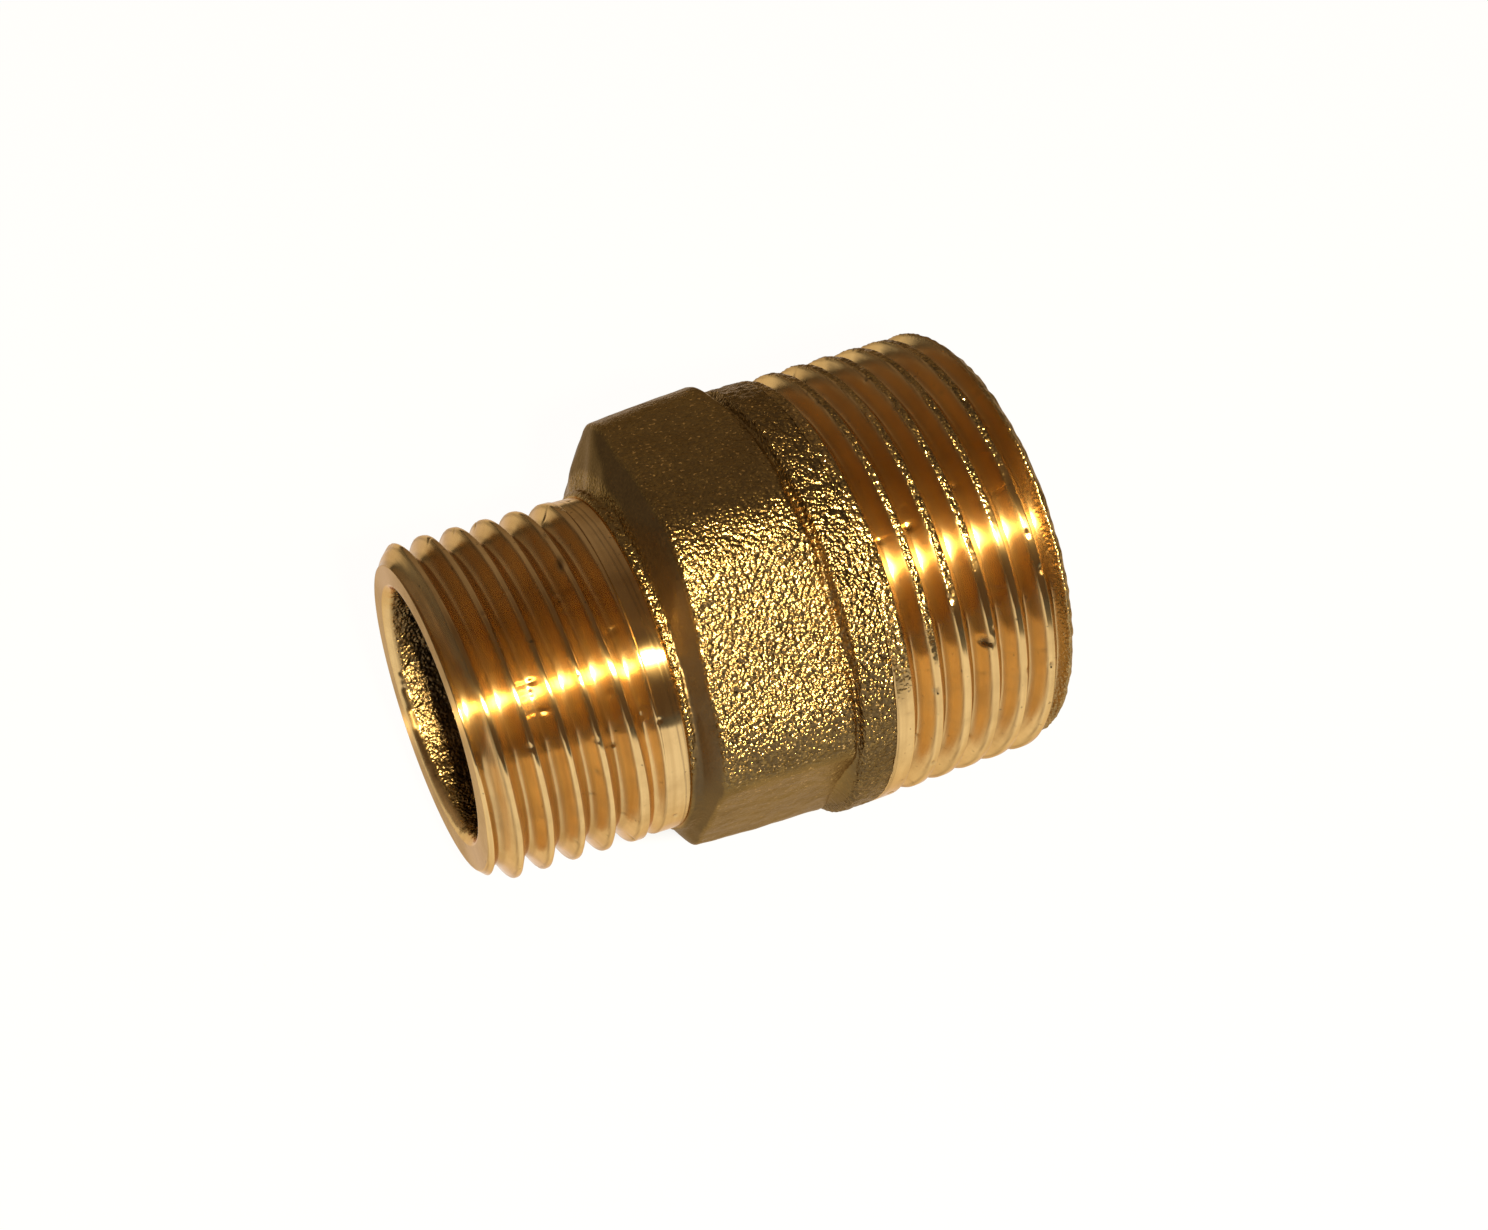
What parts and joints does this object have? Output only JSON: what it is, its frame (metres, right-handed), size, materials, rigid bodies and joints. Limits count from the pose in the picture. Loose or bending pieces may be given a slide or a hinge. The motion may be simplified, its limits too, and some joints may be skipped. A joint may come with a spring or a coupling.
{
  "type": "reducing hex nipple",
  "caption": "Brass reducing pipe nipple: a smaller and a larger male pipe thread either side of a forged hexagon, with a waterway right through.",
  "frame": {"origin": "on the axis of the waterway, halfway along the nipple, at the centre of its bounding box", "axes": "+X along the waterway, from the small threaded end to the large one; +Z square to two opposite hex flats, pointing up as the nipple lies; +Y through two opposite hex corners"},
  "size_m": [0.035, 0.027, 0.0264],
  "materials": {
    "turned_brass": "bright turned",
    "forged_brass": "as-forged grain",
    "large_thread_brass": "turned grooves with forged skin left on the crests"
  },
  "bodies": {
    "root": {"small_male_thread": "turned_brass", "hex_body": "forged_brass", "large_male_thread": "large_thread_brass"}
  },
  "joints": []
}
